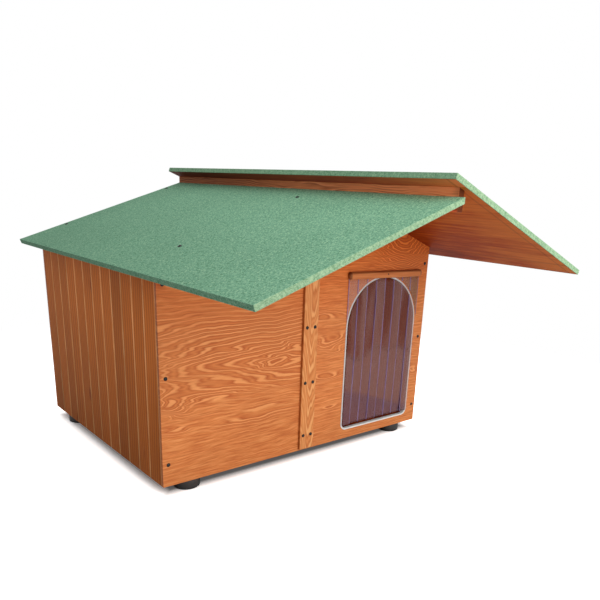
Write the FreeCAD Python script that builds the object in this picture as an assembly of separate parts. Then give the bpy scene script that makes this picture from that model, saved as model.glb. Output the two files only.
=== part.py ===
import FreeCAD, Part
import math
import os

# A timber kennel: plywood gables, matchboarded side walls, a two-part felted roof whose right half
# laps over the ridge board and the left half, and an arched doorway with a clear strip curtain.
#
# Model axes: X runs along the front wall from its left corner, Y runs back from the front wall's face,
# Z runs up from the ground. export() moves each piece so that the origin is the bottom centre of the box.
# All sizes are millimetres.

# --- body ---
body_width = 1280.0
body_depth = 1040.0
foot_height = 40.0
left_eave = 750.0            # wall bottom to the roof's underside, at the left wall's outer face
gable_ply = 12.0
frame_timber = 30.0          # posts, studs and rafters, across the wall

# --- roof ---
roof_slope = 20.0            # degrees, both halves
deck_ply = 15.0
felt_thickness = 3.0
left_overhang = 83.0
right_overhang = 118.0
front_overhang = 650.0
back_overhang = 10.0
ridge_offset = 6.0           # the ridge board's left face, right of the gable's middle
ridge_step = 45.6            # the right half's underside, above the left half's, at that face
ridge_board_width = 24.0
ridge_board_height = 70.0
ridge_board_setback = 25.0   # its front end, behind the roof's front edge
upper_lap = 48.0             # the right half reaches past the ridge board's left face
rafter_height = 35.0

# --- side walls ---
board_count = 12
board_thickness = 10.0
board_bevel = 4.0
tongue_length = 5.0
tongue_thickness = 3.0
tongue_clearance = 0.3
top_rail_height = 40.0

# --- base ---
bearer_height = 30.0
bearer_width = 45.0
floor_ply = 14.0
foot_radius = 47.5
foot_bevel = 4.0
front_foot_from_side = 115.0         # foot centres, from the outer faces of the walls
front_foot_from_gable = 52.0
back_foot_from_side = 55.0
back_foot_from_gable = 130.0

# --- gable joint ---
joint_offset = 22.0          # the joint between the two panels of a gable, left of its middle
cover_width = 70.0
cover_thickness = 12.0
cover_lift = 8.0             # the cover batten ends above the wall's bottom edge
cover_edge = 1.5
stud_width = 50.0

# --- doorway and curtain ---
door_from_right = 265.0      # the doorway's centre line, from the right wall's outer face
door_width = 400.0
door_height = 636.0
door_corner = 25.0
trim_lip = 5.0
trim_thickness = 1.5
rail_length = 426.0
rail_height = 30.0
rail_depth = 14.0
rail_rise = 2.0              # the rail's lower edge, below the top of the arch
rail_end_radius = 12.0
rail_rounding = 9.0
strip_count = 8
strip_pitch = 51.75
strip_gap = 1.0
strip_thickness = 2.5
strip_sill_gap = 17.0        # strip ends, above the sill
header_height = 24.0
running_clearance = 0.3

# --- screws ---
screw_head_radius = 7.0
screw_crown_radius = 4.0
screw_head_sides = 12
screw_head_height = 3.5
shank_radius = 2.5
shank_length = 30.0
shank_sides = 6
shank_clearance = 0.2
corner_screw_inset = 21.0
lowest_corner_screw = 80.0           # heights above the wall's bottom
top_left_screw = 693.0
top_right_screw = 731.0
lowest_cover_screw = 66.0
cover_screw_spacing = 220.0
cover_screw_rows = 3
cover_screw_offset = 19.0
low_roof_screw = 98.0                # along X from each wall's outer face
high_roof_screw = 80.0               # along X from the kennel's middle
roof_screw_inset = 26.0              # from the outer face of the gable below

# --- worked out ---
wall_bottom = foot_height
floor_top = wall_bottom + bearer_height + floor_ply
slope = math.radians(roof_slope)
rise = math.tan(slope)
roof_thickness = deck_ply + felt_thickness
rafter_drop = rafter_height / math.cos(slope)
roof_front = -front_overhang
roof_back = body_depth + back_overhang
ridge_left_face = body_width / 2 + ridge_offset
ridge_right_face = ridge_left_face + ridge_board_width
joint_at = body_width / 2 - joint_offset
inner_back = body_depth - gable_ply
strip_back = -(trim_thickness + running_clearance)
strip_front = strip_back - strip_thickness
strip_middle = (strip_back + strip_front) / 2
door_centre = body_width - door_from_right
door_radius = door_width / 2
arch_centre = floor_top + door_height - door_radius
rail_bottom = floor_top + door_height - rail_rise
strip_pivot = rail_bottom - running_clearance - strip_thickness / 2
curtain_left = door_centre - strip_count * strip_pitch / 2
far = 2 * (body_width + body_depth)
origin = FreeCAD.Vector(
    (body_width + right_overhang - left_overhang) / 2, (roof_front + roof_back) / 2, 0)


def vec(x, y, z):
    return FreeCAD.Vector(x, y, z)


def box(x0, x1, y0, y1, z0, z1):
    return Part.makeBox(x1 - x0, y1 - y0, z1 - z0, vec(x0, y0, z0))


def prism(points, along):
    """Extrude the closed outline through points by the vector along."""
    return Part.Face(Part.makePolygon(points + points[:1])).extrude(along)


def gable_prism(profile, y0, y1):
    """A prism along Y from an outline of (x, z) points."""
    return prism([vec(x, y0, z) for x, z in profile], vec(0, y1 - y0, 0))


def group(shapes):
    return Part.makeCompound(shapes)


def export(name, shape):
    placed = shape.copy()
    placed.translate(-origin)
    placed.exportStep("parts/" + name + ".step")


# --- roof lines ---
def left_under(x):
    return wall_bottom + left_eave + x * rise


def right_under(x):
    return left_under(ridge_left_face) + ridge_step - (x - ridge_left_face) * rise


def space_above(drop):
    """All the space above the roof's underside, lowered by drop."""
    profile = [
        (-far, left_under(-far) - drop), (ridge_left_face, left_under(ridge_left_face) - drop),
        (ridge_left_face, right_under(ridge_left_face) - drop), (far, right_under(far) - drop),
        (far, far * 2), (-far, far * 2)]
    return gable_prism(profile, -far, far)


def roof_section(half, t0, t1, inset):
    """The (x, z) section of a roof half between depths t0 and t1 above its underside."""
    if half == "left":
        low = -left_overhang + roof_thickness * math.sin(slope) + inset * math.cos(slope)
        corners = []
        for t in (t0, t1):
            corners.append((low - t * math.sin(slope), left_under(low) + t * math.cos(slope)))
        end = ridge_left_face - inset
        lift = 1 / math.cos(slope)
        return [corners[0], (end, left_under(end) + t0 * lift), (end, left_under(end) + t1 * lift), corners[1]]
    low = body_width + right_overhang - roof_thickness * math.sin(slope) - inset * math.cos(slope)
    top = ridge_left_face - upper_lap - roof_thickness * math.sin(slope) + inset * math.cos(slope)
    section = []
    for x, t in ((low, t0), (top, t0), (top, t1), (low, t1)):
        section.append((x + t * math.sin(slope), right_under(x) + t * math.cos(slope)))
    return section


def roof_deck(half):
    section = roof_section(half, 0, deck_ply, felt_thickness)
    return gable_prism(section, roof_front + felt_thickness, roof_back - felt_thickness)


def roof_felt(half):
    """The felt lies on the deck and turns down over all four of its edges."""
    whole = gable_prism(roof_section(half, 0, roof_thickness, 0), roof_front, roof_back)
    return whole.cut(roof_deck(half))


def ridge_profile(gap):
    top_left = right_under(ridge_left_face)
    bottom = top_left - ridge_board_height
    x0 = ridge_left_face - gap
    x1 = ridge_right_face + gap
    return [(x0, bottom), (x1, bottom), (x1, right_under(x1)), (x0, right_under(x0))]


def ridge_board():
    return gable_prism(ridge_profile(0), roof_front + ridge_board_setback, roof_back)


def ridge_notch():
    return gable_prism(ridge_profile(running_clearance), -far, far)


# --- screws ---
def ring(radius, sides, z):
    """A regular polygon round the Z axis, its corners at radius."""
    turns = [2 * math.pi * side / sides for side in range(sides)]
    corners = [vec(radius * math.cos(turn), radius * math.sin(turn), z) for turn in turns]
    return Part.makePolygon(corners + corners[:1])


def rod(radius, z0, z1):
    return Part.Face(ring(radius, shank_sides, z0)).extrude(vec(0, 0, z1 - z0))


def screw():
    """A pan-headed screw along +Z, its head's seat at the origin. Flat facets stand for its round faces."""
    seat = ring(screw_head_radius, screw_head_sides, 0)
    crown = ring(screw_crown_radius, screw_head_sides, screw_head_height)
    head = Part.makeLoft([seat, crown], True, True)
    return head.fuse(rod(shank_radius, -shank_length, 0))


def aimed(shape, direction, point):
    """Turn a shape that points up +Z to point along direction, and set it at point."""
    placed = shape.copy()
    placed.Placement = FreeCAD.Placement(point, FreeCAD.Rotation(vec(0, 0, 1), direction))
    return placed


def wall_screw_seats():
    """Each wall screw's (point, outward direction), on both gables: only the front has a cover batten."""
    spots = []
    for x, top in ((corner_screw_inset, top_left_screw), (body_width - corner_screw_inset, top_right_screw)):
        for z in (lowest_corner_screw, (lowest_corner_screw + top) / 2, top):
            spots.append((x, 0.0, z))
    for row in range(cover_screw_rows):
        for side in (-1, 1):
            z = lowest_cover_screw + row * cover_screw_spacing
            spots.append((joint_at + side * cover_screw_offset, cover_thickness, z))
    seats = []
    for x, proud, z in spots:
        seats.append((vec(x, -proud, wall_bottom + z), vec(0, -1, 0)))
        seats.append((vec(x, body_depth, wall_bottom + z), vec(0, 1, 0)))
    return seats


def roof_screw_seats():
    """Each roof screw's (point, outward direction), over the gable rafters."""
    lift = roof_thickness / math.cos(slope)
    seats = []
    for station in (low_roof_screw, body_width / 2 - high_roof_screw):
        for y in (roof_screw_inset, body_depth - roof_screw_inset):
            left_x = station
            right_x = body_width - station
            seats.append((vec(left_x, y, left_under(left_x) + lift), vec(-math.sin(slope), 0, math.cos(slope))))
            seats.append((vec(right_x, y, right_under(right_x) + lift), vec(math.sin(slope), 0, math.cos(slope))))
    return seats


def screws(seats):
    return [aimed(screw(), direction, point) for point, direction in seats]


def drilled(shape, seats):
    """Cut the screws' holes out of a piece."""
    depth = shank_length + running_clearance
    bit = rod(shank_radius + shank_clearance, -depth, running_clearance)
    reach = shape.BoundBox
    reach.enlarge(depth)
    bits = [aimed(bit, direction, point) for point, direction in seats if reach.isInside(point)]
    return shape.cut(bits) if bits else shape


# --- gables ---
def door_outline(grow, y):
    """The doorway's outline, grown outward by grow, as a face at y: round arch, small lower corners."""
    x0 = door_centre - door_radius - grow
    x1 = door_centre + door_radius + grow
    z0 = floor_top - grow
    corner = door_corner + grow
    turn = corner * (1 - math.cos(math.pi / 4))
    edges = [
        Part.makeLine(vec(x0, y, arch_centre), vec(x0, y, z0 + corner)),
        Part.Arc(vec(x0, y, z0 + corner), vec(x0 + turn, y, z0 + turn), vec(x0 + corner, y, z0)).toShape(),
        Part.makeLine(vec(x0 + corner, y, z0), vec(x1 - corner, y, z0)),
        Part.Arc(vec(x1 - corner, y, z0), vec(x1 - turn, y, z0 + turn), vec(x1, y, z0 + corner)).toShape(),
        Part.makeLine(vec(x1, y, z0 + corner), vec(x1, y, arch_centre)),
        Part.Arc(vec(x1, y, arch_centre), vec(door_centre, y, arch_centre + door_radius + grow),
                 vec(x0, y, arch_centre)).toShape()]
    return Part.Face(Part.Wire(edges))


def door_block(grow, y0, y1):
    return door_outline(grow, y0).extrude(vec(0, y1 - y0, 0))


def gable_panel(x0, x1, y0):
    sheet = box(x0, x1, y0, y0 + gable_ply, wall_bottom, far)
    sheet = sheet.cut(space_above(0)).cut(ridge_notch())
    return drilled(sheet, wall_seats)


def cover_batten():
    """The batten over the front gable's joint, its long outer edges eased."""
    x0 = joint_at - cover_width / 2
    x1 = joint_at + cover_width / 2
    eased = cover_edge - cover_thickness
    outline = [
        vec(x0, 0, 0), vec(x1, 0, 0), vec(x1, eased, 0), vec(x1 - cover_edge, -cover_thickness, 0),
        vec(x0 + cover_edge, -cover_thickness, 0), vec(x0, eased, 0)]
    batten = prism(outline, vec(0, 0, far))
    batten.translate(vec(0, 0, wall_bottom + cover_lift))
    batten = batten.cut(space_above(0)).cut(ridge_notch())
    return drilled(batten, wall_seats)


def door_trim():
    """A U-shaped edging: a lip on each face of the wall and a band round the opening's edge."""
    clear = door_block(-trim_thickness, -far, far)
    front_lip = door_block(trim_lip, -trim_thickness, 0)
    back_lip = door_block(trim_lip, gable_ply, gable_ply + trim_thickness)
    band = door_block(0, -trim_thickness, gable_ply + trim_thickness)
    edging = front_lip.fuse(back_lip).fuse(band).cut(clear)
    return edging.cut(floor_panel()).removeSplitter()


# --- frame ---
def post(x0, y0):
    timber = box(x0, x0 + frame_timber, y0, y0 + frame_timber, floor_top, far)
    return drilled(timber.cut(space_above(rafter_drop)), wall_seats)


def stud(y0):
    x0 = joint_at - stud_width / 2
    timber = box(x0, x0 + stud_width, y0, y0 + frame_timber, floor_top, far)
    return drilled(timber.cut(space_above(rafter_drop)), wall_seats)


def rafters(y0):
    """The left and right rafters behind a gable, each from a side wall to the ridge board."""
    y1 = y0 + frame_timber
    pair = []
    for x0, x1, under in (
            (board_thickness, ridge_left_face, left_under),
            (ridge_right_face, body_width - board_thickness, right_under)):
        section = [
            (x0, under(x0) - rafter_drop), (x1, under(x1) - rafter_drop), (x1, under(x1)), (x0, under(x0))]
        pair.append(drilled(gable_prism(section, y0, y1), roof_seats))
    return pair


def top_rail(x0, under_outer):
    rail = box(
        x0, x0 + frame_timber, gable_ply + frame_timber, inner_back - frame_timber,
        under_outer - top_rail_height, far)
    return rail.cut(space_above(0))


# --- side walls ---
def wall_board(index, mirrored):
    """One matchboard of the left wall, or of the right wall when mirrored: bevelled, tongued, grooved."""
    pitch = (body_depth - 2 * gable_ply) / board_count
    y0 = gable_ply + index * pitch
    y1 = y0 + pitch
    middle = board_thickness / 2
    half = tongue_thickness / 2
    last = index == board_count - 1
    tip = y1 if last else y1 + tongue_length
    root = y0 if index == 0 else y0 + tongue_length + tongue_clearance
    slot = half + tongue_clearance
    outline = [
        (board_bevel, y0), (0, y0 + board_bevel), (0, y1 - board_bevel), (board_bevel, y1),
        (middle + board_bevel / 4 - half, y1), (middle + board_bevel / 4 - half, tip),
        (middle + board_bevel / 4 + half, tip), (middle + board_bevel / 4 + half, y1),
        (board_thickness, y1), (board_thickness, y0),
        (middle + board_bevel / 4 + slot, y0), (middle + board_bevel / 4 + slot, root),
        (middle + board_bevel / 4 - slot, root), (middle + board_bevel / 4 - slot, y0)]
    if last:
        outline = outline[:4] + outline[8:]
    if index == 0:
        outline = outline[:-4]
    points = [vec(body_width - x if mirrored else x, y, wall_bottom) for x, y in outline]
    return prism(points, vec(0, 0, far)).cut(space_above(0))


# --- base ---
def bearers():
    """Front and back bearers, two across the middle, and one along each side."""
    top = wall_bottom + bearer_height
    inner_left = board_thickness
    inner_right = body_width - board_thickness
    front = gable_ply + bearer_width
    back = inner_back - bearer_width
    timbers = [
        box(inner_left, inner_right, gable_ply, front, wall_bottom, top),
        box(inner_left, inner_right, back, inner_back, wall_bottom, top),
        box(inner_left, inner_left + bearer_width, front, back, wall_bottom, top),
        box(inner_right - bearer_width, inner_right, front, back, wall_bottom, top)]
    for share in (1 / 3, 2 / 3):
        y = front + (back - front) * share - bearer_width / 2
        timbers.append(box(
            inner_left + bearer_width, inner_right - bearer_width, y, y + bearer_width, wall_bottom, top))
    return timbers


def floor_panel():
    return box(
        board_thickness, body_width - board_thickness, gable_ply, inner_back,
        wall_bottom + bearer_height, floor_top)


def foot(x, y):
    """A round foot, its lower rim bevelled."""
    bevel = Part.makeCone(foot_radius - foot_bevel, foot_radius, foot_bevel, vec(x, y, 0))
    drum = Part.makeCylinder(foot_radius, foot_height - foot_bevel, vec(x, y, foot_bevel))
    return bevel.fuse(drum)


def feet():
    spots = []
    for side, y in (
            (front_foot_from_side, front_foot_from_gable),
            (back_foot_from_side, body_depth - back_foot_from_gable)):
        spots += [(side, y), (body_width - side, y)]
    return [foot(x, y) for x, y in spots]


# --- curtain ---
def curtain_rail():
    """A half-round wooden rail with round ends, its flat back on the header."""
    x0 = door_centre - rail_length / 2
    x1 = door_centre + rail_length / 2
    bar = box(x0, x1, strip_front - rail_depth, strip_front, rail_bottom, rail_bottom + rail_height)
    ends = [edge for edge in bar.Edges if edge.BoundBox.YLength > rail_depth / 2]
    bar = bar.makeFillet(rail_end_radius, ends)
    front = [edge for edge in bar.Edges if edge.BoundBox.YMax < strip_front - rail_depth / 2]
    return bar.makeFillet(rail_rounding, front)


def curtain_header():
    """The uncut top of the curtain, clamped between the rail and the wall and relieved over the trim."""
    band = box(
        curtain_left, curtain_left + strip_count * strip_pitch, strip_front, 0,
        rail_bottom, rail_bottom + header_height)
    return band.cut(door_block(trim_lip + running_clearance, strip_back, 0))


def curtain_strip(index):
    """One clear strip, its top end rounded about the line that it swings on."""
    x0 = curtain_left + index * strip_pitch + strip_gap / 2
    x1 = x0 + strip_pitch - strip_gap
    bottom = floor_top + strip_sill_gap
    edges = [
        Part.makeLine(vec(x0, strip_front, strip_pivot), vec(x0, strip_front, bottom)),
        Part.makeLine(vec(x0, strip_front, bottom), vec(x0, strip_back, bottom)),
        Part.makeLine(vec(x0, strip_back, bottom), vec(x0, strip_back, strip_pivot)),
        Part.Arc(vec(x0, strip_back, strip_pivot), vec(x0, strip_middle, strip_pivot + strip_thickness / 2),
                 vec(x0, strip_front, strip_pivot)).toShape()]
    return Part.Face(Part.Wire(edges)).extrude(vec(x1 - x0, 0, 0))


wall_seats = wall_screw_seats()
roof_seats = roof_screw_seats()
os.makedirs("parts", exist_ok=True)

# gables
export("front_left_panel", gable_panel(0, joint_at, 0))
export("front_right_panel", gable_panel(joint_at, body_width, 0).cut(door_block(0, -far, far)))
export("back_left_panel", gable_panel(0, joint_at, inner_back))
export("back_right_panel", gable_panel(joint_at, body_width, inner_back))
export("front_cover_batten", cover_batten())
export("door_edge_trim", door_trim())

# side walls
for number in range(board_count):
    export("left_wall_board_%02d" % (number + 1), wall_board(number, False))
    export("right_wall_board_%02d" % (number + 1), wall_board(number, True))

# frame
left_inside = board_thickness
right_inside = body_width - board_thickness - frame_timber
front_inside = gable_ply
back_inside = inner_back - frame_timber
export("front_left_post", post(left_inside, front_inside))
export("front_right_post", post(right_inside, front_inside))
export("back_left_post", post(left_inside, back_inside))
export("back_right_post", post(right_inside, back_inside))
export("front_stud", stud(front_inside))
export("back_stud", stud(back_inside))
export("left_top_rail", top_rail(left_inside, left_under(0)))
export("right_top_rail", top_rail(right_inside, right_under(body_width)))
export("front_rafters", group(rafters(front_inside)))
export("back_rafters", group(rafters(back_inside)))
export("ridge_board", ridge_board())

# base
export("floor_bearers", group(bearers()))
export("floor_panel", floor_panel())
export("feet", group(feet()))

# roof
for side_name in ("left", "right"):
    export("roof_deck_" + side_name, drilled(roof_deck(side_name), roof_seats))
    export("roof_felt_" + side_name, drilled(roof_felt(side_name), roof_seats))

# curtain
export("curtain_rail", curtain_rail())
export("curtain_header", curtain_header())
for number in range(strip_count):
    export("curtain_strip_%d" % (number + 1), curtain_strip(number))

# screws
export("wall_screws", group(screws(wall_seats)))
export("roof_screws", group(screws(roof_seats)))
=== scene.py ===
import math

import bmesh
import bpy
from mathutils import Matrix, Vector, noise


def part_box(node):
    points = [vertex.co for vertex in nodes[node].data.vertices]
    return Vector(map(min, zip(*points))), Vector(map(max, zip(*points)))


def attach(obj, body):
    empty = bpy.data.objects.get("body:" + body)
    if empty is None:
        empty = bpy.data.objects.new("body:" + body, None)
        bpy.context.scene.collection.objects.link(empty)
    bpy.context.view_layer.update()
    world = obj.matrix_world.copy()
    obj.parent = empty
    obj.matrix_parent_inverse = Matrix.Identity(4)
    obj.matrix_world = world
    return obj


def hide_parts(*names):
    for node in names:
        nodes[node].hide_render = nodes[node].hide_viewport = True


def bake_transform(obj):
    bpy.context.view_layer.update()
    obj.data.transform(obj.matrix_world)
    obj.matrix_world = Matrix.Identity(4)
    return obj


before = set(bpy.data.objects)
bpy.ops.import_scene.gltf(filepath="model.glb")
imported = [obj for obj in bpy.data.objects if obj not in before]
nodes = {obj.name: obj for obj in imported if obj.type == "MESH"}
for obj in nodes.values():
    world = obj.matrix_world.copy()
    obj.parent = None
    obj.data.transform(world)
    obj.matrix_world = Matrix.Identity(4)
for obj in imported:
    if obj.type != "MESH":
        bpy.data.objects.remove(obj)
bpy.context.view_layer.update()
MM = 0.001
HOUSE = "house"

# --- camera ---
IMAGE_SIDE = 600.0                       # the photograph's frame, pixels
FOCAL_PIXELS = 618.7
VIEW_CENTRE = (349.8, 407.2)             # where the view axis meets the photograph, pixels
CAMERA_AT = (-1.533, -2.014, 1.018)
CAMERA_TURN = math.radians(-43.73)
CAMERA_RISE = math.radians(18.54)
CAMERA_ROLL = math.radians(3.69)

# --- light and floor ---
KENNEL_MIDDLE = Vector((0, 0, 0.5))
KEY_TOWARDS = Vector((0.10, -0.93, 0.36))
KEY_DISTANCE = 4.2
KEY_SIDE = 3.0
KEY_WATTS = 101.0
KEY_COLOUR = (1, 0.98, 0.94)
SKY_LIGHT = 0.52                         # the even light from all round
SKY_SEEN = 1.0                           # white, where the camera or a reflection looks past the kennel
FLOOR_RADIUS = 2.9
FLOOR_FADE = (1.5, 2.8)                  # from opaque to clear, metres from the middle
FLOOR_ALBEDO = 0.62
FLOOR_ALBEDO_SEEN = 3.8
FLOOR_ALBEDO_MIRRORED = 1.6
FLOOR_GLOW_SEEN = 0.06
CONTACT_FADE = (-0.05, 0.02)             # the painted shadow under the kennel is darkest up to the first and gone at the second, metres outside the walls
CONTACT_SHADE = 0.05

# --- places taken from the frame ---
FRONT_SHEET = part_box("front_left_panel")[0]          # the lower left corner of each front sheet
DOOR_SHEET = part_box("front_right_panel")[0]
COVER_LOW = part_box("front_cover_batten")[0]
TRIM_LOW, TRIM_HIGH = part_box("door_edge_trim")
TRIM_LIP = 5 * MM                        # how wide the edging is, on the face of the wall
ARCH_RADIUS = (TRIM_HIGH.x - TRIM_LOW.x) / 2 - TRIM_LIP
ARCH_MIDDLE = (TRIM_LOW.x + TRIM_HIGH.x) / 2
ARCH_CENTRE = TRIM_HIGH.z - TRIM_LIP - ARCH_RADIUS
STRIPS = len([name for name in nodes if name.startswith("curtain_strip")])

# --- forms made here ---
CREASE_HEIGHT = 0.41                     # a crease across the curtain, above the ground
REST_PLACE = "rest_place"                # the name under which a strip's points keep their places at rest
STRIP_COLUMNS = 8
STRIP_ROWS = 30
FLAT_ROWS = 4                            # below these the strip has its full ripple and curl
STRIP_SAG = 7 * MM
STRIP_CURL = 1.1 * MM
STRIP_RIPPLE = 1.6 * MM
WELD = 0.01 * MM                         # points closer than this are one
HEAD_SIDES = 16
# A screw head's (radius, height) in mm, from its rim over the crown to the socket's floor.
HEAD_PROFILE = [
    (7.0, 0.0), (6.9, 0.6), (6.4, 1.5), (5.3, 2.5), (3.8, 3.2), (2.9, 3.45), (2.5, 3.3), (2.3, 2.0)]


def make_camera():
    back = Vector((
        math.sin(CAMERA_TURN) * math.cos(CAMERA_RISE), -math.cos(CAMERA_TURN) * math.cos(CAMERA_RISE),
        math.sin(CAMERA_RISE)))
    level = Vector((math.cos(CAMERA_TURN), math.sin(CAMERA_TURN), 0))
    upright = back.cross(level)
    right = math.cos(CAMERA_ROLL) * level + math.sin(CAMERA_ROLL) * upright
    up = math.cos(CAMERA_ROLL) * upright - math.sin(CAMERA_ROLL) * level
    data = bpy.data.cameras.new("camera")
    data.sensor_width = 36
    data.lens = FOCAL_PIXELS / IMAGE_SIDE * data.sensor_width
    data.shift_x = (IMAGE_SIDE / 2 - VIEW_CENTRE[0]) / IMAGE_SIDE
    data.shift_y = (VIEW_CENTRE[1] - IMAGE_SIDE / 2) / IMAGE_SIDE
    camera = bpy.data.objects.new("camera", data)
    camera.matrix_world = Matrix.Translation(CAMERA_AT) @ Matrix((right, up, back)).transposed().to_4x4()
    bpy.context.collection.objects.link(camera)
    bpy.context.scene.camera = camera


# --- light ---
def make_key():
    """A square lamp in front of the kennel and a little above it."""
    data = bpy.data.lights.new("key", "AREA")
    data.size = KEY_SIDE
    data.energy = KEY_WATTS
    data.color = KEY_COLOUR
    lamp = bpy.data.objects.new("key", data)
    lamp.location = KENNEL_MIDDLE + KEY_TOWARDS.normalized() * KEY_DISTANCE
    lamp.rotation_euler = KEY_TOWARDS.to_track_quat("Z", "Y").to_euler()
    bpy.context.collection.objects.link(lamp)


def make_world():
    """White where the camera or a reflection looks past the kennel, and a dimmer even light on the rest."""
    world = bpy.data.worlds.new("studio")
    bpy.context.scene.world = world
    world.use_nodes = True
    tree = world.node_tree
    tree.nodes.clear()
    path = tree.nodes.new("ShaderNodeLightPath")
    seen = path.outputs["Is Camera Ray"]
    for ray in ("Is Glossy Ray", "Is Transmission Ray"):
        either = tree.nodes.new("ShaderNodeMath")
        either.operation = "MAXIMUM"
        tree.links.new(seen, either.inputs[0])
        tree.links.new(path.outputs[ray], either.inputs[1])
        seen = either.outputs[0]
    light = tree.nodes.new("ShaderNodeBackground")
    light.inputs["Strength"].default_value = SKY_LIGHT
    white = tree.nodes.new("ShaderNodeBackground")
    white.inputs["Strength"].default_value = SKY_SEEN
    for background in (light, white):
        background.inputs["Color"].default_value = (1, 1, 1, 1)
    mix = tree.nodes.new("ShaderNodeMixShader")
    tree.links.new(seen, mix.inputs[0])
    tree.links.new(light.outputs[0], mix.inputs[1])
    tree.links.new(white.outputs[0], mix.inputs[2])
    output = tree.nodes.new("ShaderNodeOutputWorld")
    tree.links.new(mix.outputs[0], output.inputs[0])


# --- material graphs ---
def srgb(red, green, blue):
    """A colour given as 0 to 255 screen values, as a linear RGBA tuple."""
    def linear(value):
        share = value / 255
        return share / 12.92 if share <= 0.04045 else ((share + 0.055) / 1.055) ** 2.4
    return (linear(red), linear(green), linear(blue), 1)


class Graph:
    """A material's node graph: add() makes a node, and an input that is a socket is linked."""

    def __init__(self, name):
        self.material = bpy.data.materials.new(name)
        self.material.use_nodes = True
        self.tree = self.material.node_tree
        self.tree.nodes.clear()
        self.output = self.tree.nodes.new("ShaderNodeOutputMaterial")

    def add(self, kind, inputs=None, **settings):
        node = self.tree.nodes.new("ShaderNode" + kind)
        for key, value in settings.items():
            setattr(node, key, value)
        for key, value in (inputs or {}).items():
            if isinstance(value, bpy.types.NodeSocket):
                self.tree.links.new(value, node.inputs[key])
            else:
                node.inputs[key].default_value = value
        return node

    def math(self, operation, first, second=0.0, third=0.0):
        return self.add("Math", {0: first, 1: second, 2: third}, operation=operation).outputs[0]

    def times(self, first, *others):
        for other in others:
            first = self.math("MULTIPLY", first, other)
        return first

    def times_plus(self, value, factor, added):
        return self.math("MULTIPLY_ADD", value, factor, added)

    def plus(self, first, second):
        return self.math("ADD", first, second)

    def minus(self, first, second):
        return self.math("SUBTRACT", first, second)

    def most(self, first, second):
        return self.math("MAXIMUM", first, second)

    def least(self, first, second):
        return self.math("MINIMUM", first, second)

    def size(self, value):
        return self.math("ABSOLUTE", value)

    def sway(self, value, waves, reach):
        """Push a place to and fro by half of reach, as a noise says."""
        return self.times_plus(self.minus(waves, 0.5), reach, value)

    def place(self):
        return self.add("TexCoord").outputs["Object"]

    def split(self, vector):
        return self.add("SeparateXYZ", {0: vector}).outputs

    def join(self, x=0.0, y=0.0, z=0.0):
        return self.add("CombineXYZ", {0: x, 1: y, 2: z}).outputs[0]

    def stretch(self, vector, scale):
        return self.add("Mapping", {"Vector": vector, "Scale": scale}).outputs[0]

    def noise(self, vector, scale=1.0, detail=2.0, roughness=0.5):
        values = {"Vector": vector, "Scale": scale, "Detail": detail, "Roughness": roughness}
        return self.add("TexNoise", values).outputs[0]

    def grain(self, vector, first, second, detail=2.0, roughness=0.5):
        """Noise with its own scale along each of the vector's first two axes."""
        return self.noise(self.stretch(vector, (first, second, 1.0)), 1.0, detail, roughness)

    def ramp(self, value, stops):
        """stops is a list of (position, colour)."""
        node = self.add("ValToRGB", {0: value})
        ramp = node.color_ramp
        while len(ramp.elements) < len(stops):
            ramp.elements.new(0.5)
        for element, (position, colour) in zip(ramp.elements, stops):
            element.position = position
            element.color = colour
        return node.outputs[0]

    def range(self, value, low, high, new_low=0.0, new_high=1.0):
        values = {0: value, 1: low, 2: high, 3: new_low, 4: new_high}
        return self.add("MapRange", values).outputs[0]

    def bell(self, value, centre, half):
        """A smooth hump of height 1 at centre."""
        away = self.times_plus(value, 1 / half, -centre / half)
        return self.math("EXPONENT", self.times(away, away, -1.0))

    def mix(self, factor, first, second, blend="MIX"):
        values = {0: factor, 6: first, 7: second}
        return self.add("Mix", values, data_type="RGBA", blend_type=blend).outputs[2]

    def mix_number(self, factor, first, second):
        return self.add("Mix", {0: factor, 2: first, 3: second}, data_type="FLOAT").outputs[0]

    def shade(self, colour, value):
        """Multiply a colour by a number."""
        return self.add("VectorMath", {0: colour, "Scale": value}, operation="SCALE").outputs[0]

    def bump(self, height, strength, distance):
        return self.add("Bump", {"Height": height, "Strength": strength, "Distance": distance}).outputs[0]

    def facing(self):
        """The surface's direction on the piece itself, split into x, y and z."""
        return self.split(self.add("TexCoord").outputs["Normal"])

    def finish(self, **inputs):
        """End in a Principled shader. Underscores in the names stand for spaces."""
        values = {key.replace("_", " "): value for key, value in inputs.items()}
        shader = self.add("BsdfPrincipled", values)
        self.tree.links.new(shader.outputs[0], self.output.inputs[0])
        return self.material


# --- wood ---
FIBRE_DEPTH = 0.4 * MM                   # how deep the grain is felt in planed wood, and in rougher wood
ROUGH_FIBRE_DEPTH = 0.5 * MM
EDGE_STAIN_AND_SHADE_TINT = (1.0, 0.85, 0.6)             # of ends and undersides: partly the more stain their end grain drinks, partly painted shade
UNDER_ROOF_SHADE_TINT = (1.15, 0.80, 0.42, 1)   # painted shade under the roof: darker and redder, for the light bounced off its reddish underside
UNDER_ROOF_SHADE_HEIGHT = (0.52, 0.82)          # it comes in between these, metres above the sheet's foot


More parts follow.
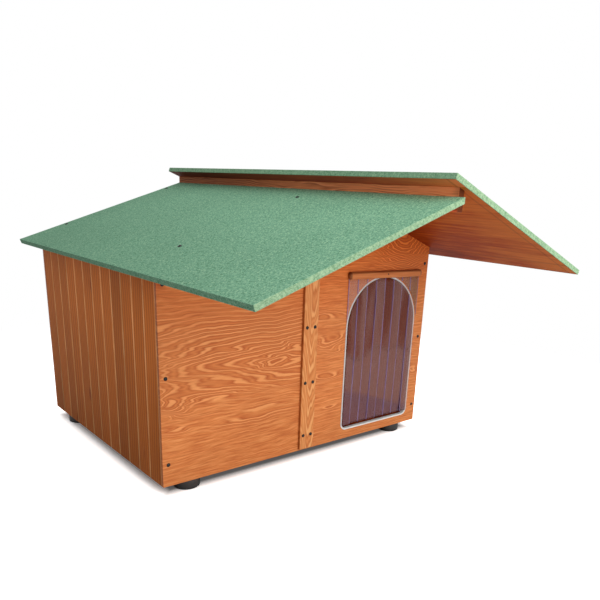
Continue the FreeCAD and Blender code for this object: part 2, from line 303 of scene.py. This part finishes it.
def crown_height(g, u, v, height, reach, swell, notch):
    """Growth rings that open to the right in nested, notched points, and lie level far above and below."""
    half_height = 0.10                   # of the stretch with the points
    notch_pitch = 0.10
    notch_shift = 0.01
    lean = 0.03
    bluntness = 0.045                    # the rings' radius at their points
    start = -0.1                         # where the rings begin to open, left of the corner
    spread = 0.18                        # half the height over which they open
    lines_above = 0.13                   # a second, weaker stretch of long level lines
    lines_half = 0.08
    window = g.bell(v, height, half_height)
    turn = 2 * math.pi / notch_pitch
    wave = g.math("COSINE", g.times_plus(v, turn, -turn * (height + notch_shift)))
    u = g.times_plus(g.times(wave, window), notch, u)
    off = g.minus(g.times_plus(u, lean, v), height)
    fold = g.math("SQRT", g.times_plus(off, off, bluntness ** 2))
    fade = g.math("EXPONENT", g.times(g.minus(u, start), -1 / reach))
    growth = g.times(g.minus(1.0, fade), g.bell(off, 0.0, spread))
    long_lines = g.times(g.bell(v, height + lines_above, lines_half), 0.5)
    return g.minus(g.times(growth, swell), fold), g.most(window, long_lines)


def veneer(name, corner, shades, rings=50.0, upright=False, crown=None, eyes=(), calm=0.1,
           edge_stain_and_shade=0.6, roof_shade=0.0, wander=0.30, tilt=0.0):
    """Cut timber: its growth rings are the contour lines of a smooth height over the face.

    corner is the face's lower left corner, and upright turns the grain from level to vertical. All
    lengths are metres from that corner: crown is (height, reach, swell, notch), and each of the eyes
    is (along, across, half length, half width, lift), a place where the rings close into loops. calm is
    the figure's strength away from them, edge_stain_and_shade darkens the ends and undersides, partly for the
    stain their end grain drinks and partly as painted shade, deepen says how much darker and redder the
    sheet is painted high up, as painted shade under the roof, wander is how far the rings' points
    stray along the grain, and tilt is how steeply the rings cross the grain.
    """
    light, middle, dark = shades
    g = Graph(name)
    x, y, z = g.split(g.place())
    right = g.minus(x, corner.x)
    up = g.minus(z, corner.z)
    u, v = (up, right) if upright else (right, up)
    layer = g.times(y, 11.0)
    flat = g.join(u, v, layer)

    # the grain's course: long bends, small ripples and straight bands
    jag = g.noise(g.join(g.times_plus(v, 6.0, g.times(u, 3.5)), g.times(v, 23.0), layer), 1.0, 2.0, 0.55)
    drift = g.sway(u, jag, wander)
    bent = g.sway(v, g.grain(flat, 3.0, 4.0, 1.0), 0.05)
    bent = g.sway(bent, g.grain(flat, 14.0, 30.0), 0.012)
    bent = g.sway(bent, g.grain(flat, 0.8, 13.0, 1.0), 0.03)
    strength = calm
    if crown:
        height, window = crown_height(g, drift, bent, *crown)
        strength = g.range(window, 0.0, 0.6, calm, 1.0)
    elif tilt:
        height = g.times_plus(drift, tilt, g.times(bent, 0.3))
    else:
        height = bent
    for along, across, half_length, half_width, lift in eyes:
        hump = g.times(g.bell(drift, along, half_length), g.bell(bent, across, half_width))
        height = g.times_plus(hump, lift, height)
        strength = g.most(g.times(hump, 1.6), strength)

    # the figure over a plain streaky wood, stronger in some patches
    ring = g.math("FRACT", g.times(height, rings))
    figure = g.ramp(ring, [
        (0.0, light), (0.12, light), (0.3, dark), (0.58, middle), (0.8, dark), (0.96, light)])
    fine = g.grain(g.join(u, bent, layer), 11.0, 170.0, 3.0, 0.65)
    plain = g.mix(0.75, middle, g.ramp(fine, [(0.34, dark), (0.5, middle), (0.66, light)]))
    patch = g.range(g.grain(flat, 4.0, 9.0, 1.0), 0.35, 0.65, 0.6, 1.3)
    colour = g.mix(g.times(strength, patch), plain, figure)
    fibre = g.grain(flat, 9.0, 420.0, 2.0, 0.6)
    tone = g.grain(flat, 2.0, 3.0)
    level = g.times(g.range(fibre, 0.3, 0.7, 0.92, 1.08), g.range(tone, 0.3, 0.7, 0.92, 1.08))
    # ends and undersides darker: partly end grain that drinks more stain, partly painted shade
    if edge_stain_and_shade < 1:
        facing = g.facing()
        ends_and_undersides = g.most(g.size(facing[0]), g.times(facing[2], -1.0))
        tint = [edge_stain_and_shade * part for part in EDGE_STAIN_AND_SHADE_TINT] + [1]
        colour = g.mix(g.range(ends_and_undersides, 0.5, 0.9), colour, tint, "MULTIPLY")
    # painted shade high on the sheet, under the roof
    if roof_shade:
        colour = g.mix(g.range(up, *UNDER_ROOF_SHADE_HEIGHT, 0.0, roof_shade), colour, UNDER_ROOF_SHADE_TINT, "MULTIPLY")
    return g.finish(
        Base_Color=g.shade(colour, level), Roughness=g.range(fibre, 0.2, 0.8, 0.42, 0.56),
        Specular_IOR_Level=0.15, Normal=g.bump(fibre, 0.2, FIBRE_DEPTH))


def rail_wood(name, shades):
    """The curtain rail: turned wood, with painted shade on its ends and along its rounded top."""
    light, middle, dark = shades
    end_shade = 0.38
    top_shade = 0.42
    g = Graph(name)
    low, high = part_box("curtain_rail")
    x, _, z = g.split(g.place())
    fine = g.grain(g.join(x, z), 7.0, 160.0, 2.0, 0.6)
    colour = g.mix(0.5, g.ramp(fine, [(0.3, dark), (0.5, middle), (0.7, light)]), middle)
    from_end = g.least(g.minus(x, low.x), g.minus(high.x, x))
    level = g.times(g.range(from_end, 6 * MM, 14 * MM, end_shade, 1.0),
                    g.range(z, high.z - 10 * MM, high.z - 4 * MM, 1.0, top_shade))
    return g.finish(
        Base_Color=g.shade(colour, level), Roughness=0.5, Specular_IOR_Level=0.2,
        Normal=g.bump(fine, 0.2, FIBRE_DEPTH))


def board_wood(name, shades, bevel_highlight):
    """Stained matchboards with upright grain, each board cut from another part of the log."""
    light, middle, dark = shades
    foot_shade = 0.66
    g = Graph(name)
    x, y, z = g.split(g.place())
    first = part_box("left_wall_board_01")[0].y
    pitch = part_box("left_wall_board_02")[0].y - first
    board = g.math("FLOOR", g.math("DIVIDE", g.minus(y, first), pitch))
    side = g.math("GREATER_THAN", x, 0.0)
    luck = g.split(g.add("TexWhiteNoise", {"Vector": g.join(board, side)}).outputs["Color"])
    upright = g.times_plus(luck[0], 7.0, z)
    across = g.times_plus(luck[1], 3.0, y)
    face = g.join(across, upright)
    height = g.times_plus(g.grain(face, 4.5, 0.9, 1.0), 0.10, across)
    ring = g.math("FRACT", g.times(height, 60.0))
    colour = g.ramp(ring, [(0.0, dark), (0.45, middle), (0.8, light), (1.0, middle)])
    fibre = g.grain(face, 260.0, 9.0, 3.0, 0.6)
    colour = g.mix(g.range(fibre, 0.3, 0.7, 0.2, 0.75), colour, middle)
    spots = g.add("TexVoronoi", {"Vector": g.stretch(face, (8.0, 3.2, 1.0)), "Scale": 1.0})
    knot = g.range(spots.outputs["Distance"], 0.05, 0.12, 0.75, 0.0)
    colour = g.mix(knot, colour, dark)
    # a painted highlight on the grooves' bevels, broken up in patches along each board
    bevel = g.range(g.size(g.facing()[1]), 0.4, 0.6)
    patchiness = g.noise(g.join(board, g.times(z, 9.0)))
    colour = g.mix(g.times(bevel, g.range(patchiness, 0.3, 0.6, 0.5, 1.0)), colour, bevel_highlight)
    level = g.times(
        g.range(luck[2], 0.0, 1.0, 0.88, 1.08), g.range(g.grain(face, 3.0, 1.2), 0.3, 0.7, 0.84, 1.14),
        g.range(z, 0.05, 0.55, foot_shade, 1.0))
    return g.finish(
        Base_Color=g.shade(colour, level), Roughness=0.6, Specular_IOR_Level=0.06,
        Normal=g.bump(fibre, 0.25, ROUGH_FIBRE_DEPTH))


def deck_wood(name, shades, past_ridge_tint):
    """The roof boards' stained underside: grain along the ridge, with painted light that makes it paler in
    front, and dark lines by the edges.

    The strip of it that laps past the ridge board is tinted, and painted with shade that deepens towards the
    back.
    """
    light, middle, dark = shades
    line_shade = 0.75
    front_line = 32 * MM                 # from the front edge
    eave_line = 100 * MM                 # from the eave
    lap_height = 1.0                     # only the lapping strip lies higher
    paler_length = 0.65                  # over which the painted light fades, from the front edge back
    lap_shade_length = 1.3                     # over which the painted shade on the lapping strip deepens
    g = Graph(name)
    x, y, z = g.split(g.place())
    flat = g.join(x, y, g.times(z, 0.3))
    low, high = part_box("roof_deck_right")
    streak = g.grain(flat, 60.0, 4.0, 3.0, 0.65)
    cloud = g.grain(flat, 9.0, 4.0, 3.0, 0.6)
    # painted light: lighter towards the front, where more light reaches under the roof
    pale = g.range(y, low.y, low.y + paler_length, 0.24, -0.20)
    blend = g.plus(g.times_plus(streak, 0.8, g.times(cloud, 0.6)), pale)
    colour = g.ramp(blend, [(0.40, dark), (0.66, middle), (0.95, light)])
    fibre = g.grain(flat, 420.0, 9.0, 2.0, 0.6)
    from_front = g.size(g.minus(y, low.y + front_line))
    from_eave = g.size(g.minus(g.size(x), high.x - eave_line))
    ridge_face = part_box("ridge_board")[0].x
    past_ridge = g.times(g.range(x, ridge_face - 4 * MM, ridge_face, 1.0, 0.0),
                         g.range(z, lap_height, lap_height + 10 * MM))
    colour = g.mix(g.times(past_ridge, 0.5), colour, past_ridge_tint)
    # the lapping strip's painted shade deepens towards the back
    level = g.times(
        g.range(from_front, 2 * MM, 7 * MM, line_shade, 1.0),
        g.range(from_eave, 2 * MM, 8 * MM, line_shade, 1.0), g.range(fibre, 0.3, 0.7, 0.9, 1.1),
        g.mix_number(past_ridge, 1.0, g.range(y, low.y, low.y + lap_shade_length, 1.6, 0.35)))
    return g.finish(
        Base_Color=g.shade(colour, level), Roughness=0.6, Specular_IOR_Level=0.05,
        Normal=g.bump(fibre, 0.25, ROUGH_FIBRE_DEPTH))


def ridge_wood(name, shades, end_tint):
    """The ridge board: planed timber, its grain along the ridge, with painted light strong at the front and
    falling off towards the back, and its end dark from its end grain and painted shade.
    """
    light, middle, dark = shades
    end_shade = 0.19
    darkening_length = 1.3
    g = Graph(name)
    _, y, z = g.split(g.place())
    flat = g.join(y, z)
    height = g.times_plus(g.grain(flat, 3.0, 9.0), 0.08, z)
    ring = g.math("FRACT", g.times(height, 105.0))
    colour = g.ramp(ring, [(0.0, light), (0.3, middle), (0.75, dark), (0.95, dark), (1.0, light)])
    colour = g.mix(g.range(g.grain(flat, 5.0, 40.0), 0.35, 0.65), colour, middle)
    fibre = g.grain(flat, 9.0, 420.0, 2.0, 0.6)
    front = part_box("ridge_board")[0].y
    # the end face darker, from end grain that drinks more stain and from painted shade; darker too over the
    # first few centimetres behind the front end
    end_stain_and_shade = g.range(g.facing()[1], -0.9, -0.6, end_shade, 1.0)
    front_end_darkening = g.range(y, front + 2 * MM, front + 30 * MM, 0.6, 1.0)
    # painted light, strong at the front and falling off towards the back under the roof
    level = g.times(
        g.range(fibre, 0.3, 0.7, 0.8, 1.2), g.range(y, front, front + darkening_length, 2.2, 0.68),
        g.times(end_stain_and_shade, front_end_darkening))
    colour = g.mix(g.range(end_stain_and_shade, end_shade, 1.0, 0.8, 0.0), colour, end_tint)
    return g.finish(
        Base_Color=g.shade(colour, level), Roughness=0.6, Specular_IOR_Level=0.06,
        Normal=g.bump(fibre, 0.25, ROUGH_FIBRE_DEPTH))


# --- roof felt ---
def felt_material():
    """Mineral felt: green granules of mixed shades, paler where it folds over the front and top edges,
    painted lighter towards the front and the ridge, and painted darker on its eave edges and top fold.
    """
    eave_shade = 0.62
    g = Graph("roof_felt")
    place = g.place()
    x, y, z = g.split(place)
    grit = g.add("TexVoronoi", {"Vector": place, "Scale": 380.0})
    clumps = g.noise(place, 150.0, 2.0, 0.7)
    speckle = g.times_plus(clumps, 0.9, g.times(g.split(grit.outputs["Color"])[0], 0.35))
    green = g.ramp(speckle, [
        (0.34, srgb(88, 142, 108)), (0.56, srgb(126, 183, 149)), (0.74, srgb(152, 205, 170)),
        (0.9, srgb(184, 224, 186))])
    # paler, greyer granules for the folds: their own colour, and on the front fold, which faces the lamp,
    # partly painted light
    fold_pale = g.ramp(speckle, [
        (0.36, srgb(112, 148, 112)), (0.6, srgb(140, 174, 140)), (0.85, srgb(166, 196, 158))])
    facing = g.facing()
    front_fold = g.range(facing[1], -0.9, -0.5, 1.0, 0.0)
    top_fold = g.times(g.range(facing[0], -0.8, -0.5, 1.0, 0.0), g.range(z, 0.99, 1.0))
    fold = g.most(front_fold, g.times(top_fold, 0.6))
    # painted shade on the low eave edges, which face left, away from the lamp
    eave = g.most(g.range(facing[0], -0.92, -0.75, eave_shade, 1.0), g.range(z, 0.90, 0.95))
    low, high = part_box("roof_felt_left")
    # painted light: brighter towards the front and towards the ridge; painted shade on the top fold; over a
    # random tone
    level = g.times(
        g.range(g.noise(place, 2.2), 0.3, 0.7, 0.95, 1.05), g.range(y, low.y, high.y, 1.09, 0.87),
        g.range(x, low.x, high.x, 0.90, 1.13), eave, g.range(top_fold, 0.0, 1.0, 1.0, 0.88))
    return g.finish(
        Base_Color=g.shade(g.mix(fold, green, fold_pale), level),
        Roughness=0.95, Specular_IOR_Level=0.2, Normal=g.bump(speckle, 0.5, 1.2 * MM))


# --- plastic, metal and vinyl ---
def plain_material(name, colour, roughness, specular=0.5):
    """A moulded or painted finish, its shade and gloss uneven at two scales."""
    patchiness = 0.08
    g = Graph(name)
    place = g.place()
    cloud = g.noise(place, 40.0, 3.0)
    fine = g.noise(place, 900.0, 1.0)
    level = g.times(g.range(cloud, 0.3, 0.7, 1 - patchiness, 1 + patchiness), g.range(fine, 0.3, 0.7, 0.96, 1.04))
    return g.finish(
        Base_Color=g.shade(colour[:3], level),
        Roughness=g.range(cloud, 0.2, 0.8, roughness - 0.05, roughness + 0.07),
        Specular_IOR_Level=specular, Normal=g.bump(fine, 0.15, 0.2 * MM))


def vinyl_haze(g, x, z, strip, crease):
    """How cloudy the vinyl is: even below its crease, and above it in streaks, more on every other strip."""
    haze_below = 0.85
    streak = g.noise(g.join(g.times_plus(strip, 3.7, g.times(x, 18.0)), g.times(z, 2.2)), 1.0, 2.0, 0.55)
    cloud = g.noise(g.join(g.times(x, 9.0), g.times(z, 4.0), strip))
    every_other = g.math("FRACT", g.times(strip, 0.5))
    haze = g.times_plus(cloud, 0.4, g.times(streak, 0.6))
    haze = g.range(g.times_plus(every_other, 0.26, haze), 0.49, 0.66)
    above = g.range(crease, CREASE_HEIGHT, CREASE_HEIGHT + 15 * MM)
    return g.times_plus(g.minus(haze, haze_below), above, haze_below)


def vinyl_material(name, hangs):
    """Clear soft vinyl with a pinkish cast and violet cut edges.

    Where it hangs, its marks keep to the places that each point has at rest. There it lies close on the
    pale edging of the doorway, which shows through it as a clear line.
    """
    cut_edge = (0.45, 0.475)             # from the strip's middle, in widths
    shadow_height = (0.255, 0.27)        # painted shade below it, at a slant, for the floor inside seen through
    shadow_slant = 0.33
    clear_alpha = 0.48
    wall_alpha = (0.22, 0.35)            # over the wall, from the arch's middle to its right
    g = Graph(name)
    place = g.add("Attribute", attribute_name=REST_PLACE).outputs["Vector"] if hangs else g.place()
    x, _, z = g.split(place)
    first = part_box("curtain_strip_1")[0].x
    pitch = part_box("curtain_strip_2")[0].x - first
    from_first = g.minus(x, first)
    strip = g.math("FLOOR", g.math("DIVIDE", from_first, pitch))
    across = g.math("FRACT", g.math("DIVIDE", from_first, pitch))
    edge = g.range(g.size(g.minus(across, 0.5)), *cut_edge)

    # where the sheet lies against the edging and the wall
    aside = g.minus(x, ARCH_MIDDLE)
    rise = g.most(g.minus(z, ARCH_CENTRE), 0.0)
    reach = g.math("SQRT", g.times_plus(aside, aside, g.times(rise, rise)))
    from_trim = g.size(g.minus(reach, ARCH_RADIUS + TRIM_LIP / 2))
    pressed = g.range(from_trim, 4.5 * MM, 7.5 * MM, 1.0, 0.0)
    on_wall = g.range(reach, ARCH_RADIUS + TRIM_LIP, ARCH_RADIUS + 2 * TRIM_LIP)
    right_side = g.range(x, ARCH_MIDDLE, TRIM_HIGH.x)

    wave = g.noise(g.join(g.times(x, 7.0)), 1.0, 1.0)
    crease = g.sway(z, wave, 0.16)
    haze = g.most(vinyl_haze(g, x, z, strip, crease), on_wall)
    # red-brown where the vinyl is clear: painted light standing in for the lit wood inside
    colour = g.mix(haze, srgb(128, 56, 34), srgb(158, 110, 102))
    # painted shade below a slanting line, for the floor inside
    slant = g.times_plus(from_first, shadow_slant, z)
    colour = g.mix(g.range(slant, *shadow_height, 0.7, 0.0), colour, srgb(124, 85, 99))
    # over the wall: painted lighter, to make up for the vinyl's own shadow on it, and darker towards the
    # right
    colour = g.mix(on_wall, colour, g.mix(right_side, srgb(206, 170, 155), srgb(140, 112, 86)))
    # a painted dark line along the crease
    colour = g.shade(colour, g.minus(1.0, g.times(g.bell(crease, CREASE_HEIGHT, 4 * MM), 0.4)))
    colour = g.mix(edge, colour, srgb(178, 158, 214))
    alpha = g.mix_number(on_wall, clear_alpha, g.range(right_side, 0.0, 1.0, *wall_alpha))
    alpha = g.most(alpha, g.times(edge, 0.7))
    alpha = g.times(alpha, g.range(pressed, 0.0, 1.0, 1.0, 0.12))
    return g.finish(Base_Color=colour, Alpha=alpha, Roughness=0.22, IOR=1.4)


# --- pieces ---
def give(material, *names):
    for name in names:
        mesh = nodes[name].data
        mesh.materials.clear()
        mesh.materials.append(material)


def new_piece(name, mesh, material, slot, body, *replaced):
    piece = bpy.data.objects.new(name, mesh)
    bpy.context.collection.objects.link(piece)
    mesh.materials.append(material)
    if replaced:
        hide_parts(*replaced)
    if body:
        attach(piece, body)
    return piece


def solids_of(node):
    """The points of each separate solid in a node's mesh, as a list of lists."""
    work = bmesh.new()
    work.from_mesh(nodes[node].data)
    bmesh.ops.remove_doubles(work, verts=work.verts, dist=WELD)
    seen = set()
    solids = []
    for start in work.verts:
        if start in seen:
            continue
        points = []
        reached = [start]
        seen.add(start)
        while reached:
            vert = reached.pop()
            points.append(vert.co.copy())
            for link in vert.link_edges:
                other = link.other_vert(vert)
                if other not in seen:
                    seen.add(other)
                    reached.append(other)
        solids.append(points)
    work.free()
    return solids


def middle_of(points):
    return sum(points, Vector()) / len(points)


def screw_seats(node):
    """Each screw's (middle of its head's seat, outward direction): the tip lies farthest from the middle."""
    near = 0.2 * MM
    seats = []
    for points in solids_of(node):
        middle = middle_of(points)
        far = max((point - middle).length for point in points)
        tip = [point for point in points if (point - middle).length > far - near]
        outward = (middle - middle_of(tip)).normalized()
        spread = [((point - middle) - (point - middle).dot(outward) * outward).length for point in points]
        rim = [point for point, off in zip(points, spread) if off > max(spread) - near]
        seats.append((middle_of(rim), outward))
    return seats


def screw_heads(name, seats, profile):
    """Domed heads with a round socket: profile lists (radius, height) from the rim to the socket's floor."""
    work = bmesh.new()
    for seat, outward in seats:
        turn = outward.to_track_quat("Z", "Y").to_matrix()
        rings = []
        for radius, height in profile:
            ring = []
            for side in range(HEAD_SIDES):
                angle = 2 * math.pi * side / HEAD_SIDES
                place = Vector((radius * math.cos(angle), radius * math.sin(angle), height))
                ring.append(work.verts.new(seat + turn @ place))
            rings.append(ring)
        for low, high in zip(rings, rings[1:]):
            for side in range(HEAD_SIDES):
                after = (side + 1) % HEAD_SIDES
                work.faces.new((low[side], low[after], high[after], high[side])).smooth = True
        work.faces.new(rings[-1])
        work.faces.new(list(reversed(rings[0])))
    mesh = bpy.data.meshes.new(name)
    work.to_mesh(mesh)
    work.free()
    return mesh


def make_screws(material):
    """Heads over the CAD screws, and a half-size one at the middle of the curtain rail."""
    profile = [(radius * MM, height * MM) for radius, height in HEAD_PROFILE]
    for node in ("wall_screws", "roof_screws"):
        name = "domed_" + node
        new_piece(name, screw_heads(name, screw_seats(node), profile), material, "screws", HOUSE, node)
    low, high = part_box("curtain_rail")
    middle = Vector(((low.x + high.x) / 2, low.y, low.z + (high.z - low.z) * 0.55))
    small = [(radius / 2, height / 2) for radius, height in profile]
    mesh = screw_heads("rail_screw", [(middle, Vector((0, -1, 0)))], small)
    new_piece("rail_screw", mesh, material, "screws", HOUSE)


def soften(width, *names):
    """Round off the sharp edges of CAD pieces a little."""
    for name in names:
        piece = nodes[name]
        weld = piece.modifiers.new("weld", "WELD")
        weld.merge_threshold = WELD
        bevel = piece.modifiers.new("bevel", "BEVEL")
        bevel.width = width
        bevel.segments = 2
        bevel.limit_method = "ANGLE"
        bevel.angle_limit = math.radians(40)


def strip_mesh(index, low, high):
    """One strip as a thin closed sheet, curled a little across.

    The first and the last strip hang over the wall. The others sag into the doorway below its arch.
    """
    sag = STRIP_SAG if 0 < index < STRIPS - 1 else 0.0
    curl = STRIP_CURL * (1 if index % 2 else -0.4)
    half = (high.y - low.y) / 2
    columns = STRIP_COLUMNS
    rows = STRIP_ROWS
    work = bmesh.new()
    grid = {}
    for row in range(rows + 1):
        z = high.z + (low.z - high.z) * row / rows
        depth = max(0.0, (ARCH_CENTRE - z) / (ARCH_CENTRE - low.z))
        fall = min(1.0, row / FLAT_ROWS)
        for column in range(columns + 1):
            s = column / columns
            ripple = noise.noise((index * 5.1 + s * 0.7, z * 4.0, 0.0)) * STRIP_RIPPLE
            y = (low.y + high.y) / 2 + sag * depth ** 2 + (ripple - STRIP_RIPPLE) * fall
            y -= curl * (2 * s - 1) ** 2 * fall
            for face, offset in ((0, -half), (1, half)):
                grid[row, column, face] = work.verts.new((low.x + (high.x - low.x) * s, y + offset, z))

    def quad(*corners):
        work.faces.new([grid[corner] for corner in corners]).smooth = True

    for row in range(rows):
        below = row + 1
        for column in range(columns):
            after = column + 1
            quad((row, column, 0), (below, column, 0), (below, after, 0), (row, after, 0))
            quad((row, column, 1), (row, after, 1), (below, after, 1), (below, column, 1))
        for column in (0, columns):
            quad((row, column, 0), (row, column, 1), (below, column, 1), (below, column, 0))
    for column in range(columns):
        for row in (0, rows):
            after = column + 1
            quad((row, column, 0), (row, after, 0), (row, after, 1), (row, column, 1))
    bmesh.ops.recalc_face_normals(work, faces=work.faces)
    mesh = bpy.data.meshes.new("vinyl_strip_%d" % (index + 1))
    work.to_mesh(mesh)
    work.free()
    places = mesh.attributes.new(REST_PLACE, "FLOAT_VECTOR", "POINT")
    for vertex, place in zip(mesh.vertices, places.data):
        place.vector = vertex.co
    return mesh


def make_curtain(material):
    """Strips that hang from the rail, flat at the top and rippled and curled below."""
    for index in range(STRIPS):
        node = "curtain_strip_%d" % (index + 1)
        low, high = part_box(node)
        mesh = strip_mesh(index, low, high)
        piece = new_piece("vinyl_strip_%d" % (index + 1), mesh, material, "curtain_vinyl", None, node)
        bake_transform(piece)


# --- stage ---
def make_floor():
    """A round pale floor that fades out, so that the white behind it shows no edge.

    The camera and reflections see it brighter than the kennel does, as an overexposed white ground.
    """
    g = Graph("floor")
    x, y, _ = g.split(g.place())
    reach = g.math("SQRT", g.times_plus(x, x, g.times(y, y)))
    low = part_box("front_left_panel")[0]
    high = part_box("back_right_panel")[1]
    beside = g.minus(g.size(g.minus(x, (low.x + high.x) / 2)), (high.x - low.x) / 2)
    before = g.minus(g.size(g.minus(y, (low.y + high.y) / 2)), (high.y - low.y) / 2)
    # a painted shadow on the ground under the kennel and just around it
    contact_shadow = g.range(g.most(beside, before), *CONTACT_FADE, CONTACT_SHADE, 1.0)
    path = g.add("LightPath").outputs
    seen = path["Is Camera Ray"]
    mirrored = g.most(path["Is Glossy Ray"], path["Is Transmission Ray"])
    albedo = g.most(g.range(seen, 0.0, 1.0, FLOOR_ALBEDO, FLOOR_ALBEDO_SEEN),
                    g.range(mirrored, 0.0, 1.0, FLOOR_ALBEDO, FLOOR_ALBEDO_MIRRORED))
    albedo = g.times(albedo, contact_shadow)
    matt = g.add("BsdfDiffuse", {"Color": g.join(albedo, albedo, albedo)}).outputs[0]
    glow = g.add("Emission", {"Strength": g.times(seen, FLOOR_GLOW_SEEN)}).outputs[0]
    lit = g.add("AddShader", {0: matt, 1: glow}).outputs[0]
    clear = g.add("BsdfTransparent").outputs[0]
    mixed = g.add("MixShader", {0: g.range(reach, *FLOOR_FADE), 1: lit, 2: clear}).outputs[0]
    g.tree.links.new(mixed, g.output.inputs[0])
    work = bmesh.new()
    bmesh.ops.create_circle(work, cap_ends=True, segments=96, radius=FLOOR_RADIUS)
    mesh = bpy.data.meshes.new("floor")
    work.to_mesh(mesh)
    work.free()
    mesh.materials.append(g.material)
    floor = bpy.data.objects.new("floor", mesh)
    bpy.context.collection.objects.link(floor)


# --- look of the CAD pieces ---
# Each wood has a light, a middle and a dark shade.
ORANGE = (srgb(238, 160, 98), srgb(214, 130, 72), srgb(186, 98, 52))
PALE = (srgb(244, 176, 112), srgb(228, 150, 88), srgb(204, 120, 66))
BROWN = (srgb(222, 134, 62), srgb(195, 106, 42), srgb(146, 72, 26))
TAN = (srgb(220, 138, 96), srgb(192, 113, 73), srgb(138, 75, 48))
RUST = (srgb(216, 124, 52), srgb(176, 77, 20), srgb(122, 38, 6))

# Eyes in the sheets' figure: see veneer().
LEFT_EYES = [
    (0.47, 0.395, 0.075, 0.030, 0.060), (0.56, 0.450, 0.040, 0.022, 0.045),
    (0.28, 0.452, 0.060, 0.014, -0.030), (0.03, 0.285, 0.085, 0.040, 0.110),
    (0.20, 0.300, 0.100, 0.020, -0.034), (0.48, 0.290, 0.100, 0.016, 0.034),
    (0.34, 0.185, 0.150, 0.016, 0.032), (0.05, 0.205, 0.050, 0.012, 0.032),
    (0.45, 0.222, 0.100, 0.008, -0.018), (0.10, 0.690, 0.120, 0.014, 0.026)]
RIGHT_EYES = [
    (0.50, 0.790, 0.130, 0.120, 0.110), (0.11, 0.440, 0.090, 0.034, 0.050),
    (0.06, 0.545, 0.100, 0.018, -0.034), (0.14, 0.400, 0.060, 0.014, 0.026),
    (0.10, 0.295, 0.090, 0.018, 0.036), (0.12, 0.165, 0.050, 0.008, 0.018),
    (0.63, 0.240, 0.060, 0.030, 0.050)]
COVER_EYES = [(0.40, 0.038, 9.0, 0.024, 0.034)]      # one that runs the whole length of the batten


def dress_wood():
    give(veneer("plywood_front_left", FRONT_SHEET, ORANGE, crown=(0.40, 0.30, 0.24, 0.045), rings=38.0,
                eyes=LEFT_EYES, roof_shade=0.8), "front_left_panel")
    give(veneer("plywood_front_right", DOOR_SHEET, ORANGE, rings=62.0, eyes=RIGHT_EYES, calm=0.22,
                roof_shade=1.0, wander=0.14), "front_right_panel")
    give(veneer("plywood_back", DOOR_SHEET, ORANGE, crown=(0.46, 0.34, 0.22, 0.03), eyes=RIGHT_EYES),
         "back_left_panel", "back_right_panel")
    give(veneer("batten_wood", COVER_LOW, PALE, rings=44.0, tilt=0.28, upright=True, eyes=COVER_EYES,
                calm=0.68, wander=0.24), "front_cover_batten")
    boards = [name for name in nodes if "wall_board" in name]
    give(board_wood("board_wood", BROWN, srgb(255, 196, 138)), *boards)
    frame_pieces = [name for name in nodes if name.endswith(("_post", "_stud", "_rafters"))]
    give(veneer("frame_wood", FRONT_SHEET, BROWN, rings=90.0, upright=True, calm=0.3, edge_stain_and_shade=1.0),
         "left_top_rail", "right_top_rail", "floor_bearers", *frame_pieces)
    give(deck_wood("deck_wood", RUST, srgb(204, 104, 84)), "roof_deck_left", "roof_deck_right", "floor_panel")
    give(ridge_wood("ridge_wood", TAN, srgb(196, 98, 50)), "ridge_board")
    give(rail_wood("rail_wood", ORANGE), "curtain_rail")


def dress_other_pieces():
    give(felt_material(), "roof_felt_left", "roof_felt_right")
    give(plain_material("door_trim", srgb(228, 233, 233), 0.4), "door_edge_trim")
    give(plain_material("feet", srgb(30, 30, 30), 0.45), "feet")
    metal = plain_material("screws", srgb(24, 24, 26), 0.3, specular=0.3)
    give(metal, "wall_screws", "roof_screws")
    make_screws(metal)
    strips = [name for name in nodes if name.startswith("curtain_strip")]
    give(vinyl_material("header_vinyl", False), "curtain_header", *strips)
    make_curtain(vinyl_material("curtain_vinyl", True))


make_camera()
make_world()
make_key()
make_floor()
dress_wood()
dress_other_pieces()
soften(3 * MM, "roof_felt_left", "roof_felt_right", "feet")
soften(1 * MM, "front_cover_batten", "ridge_board")

bpy.context.scene.view_settings.view_transform = "Standard"
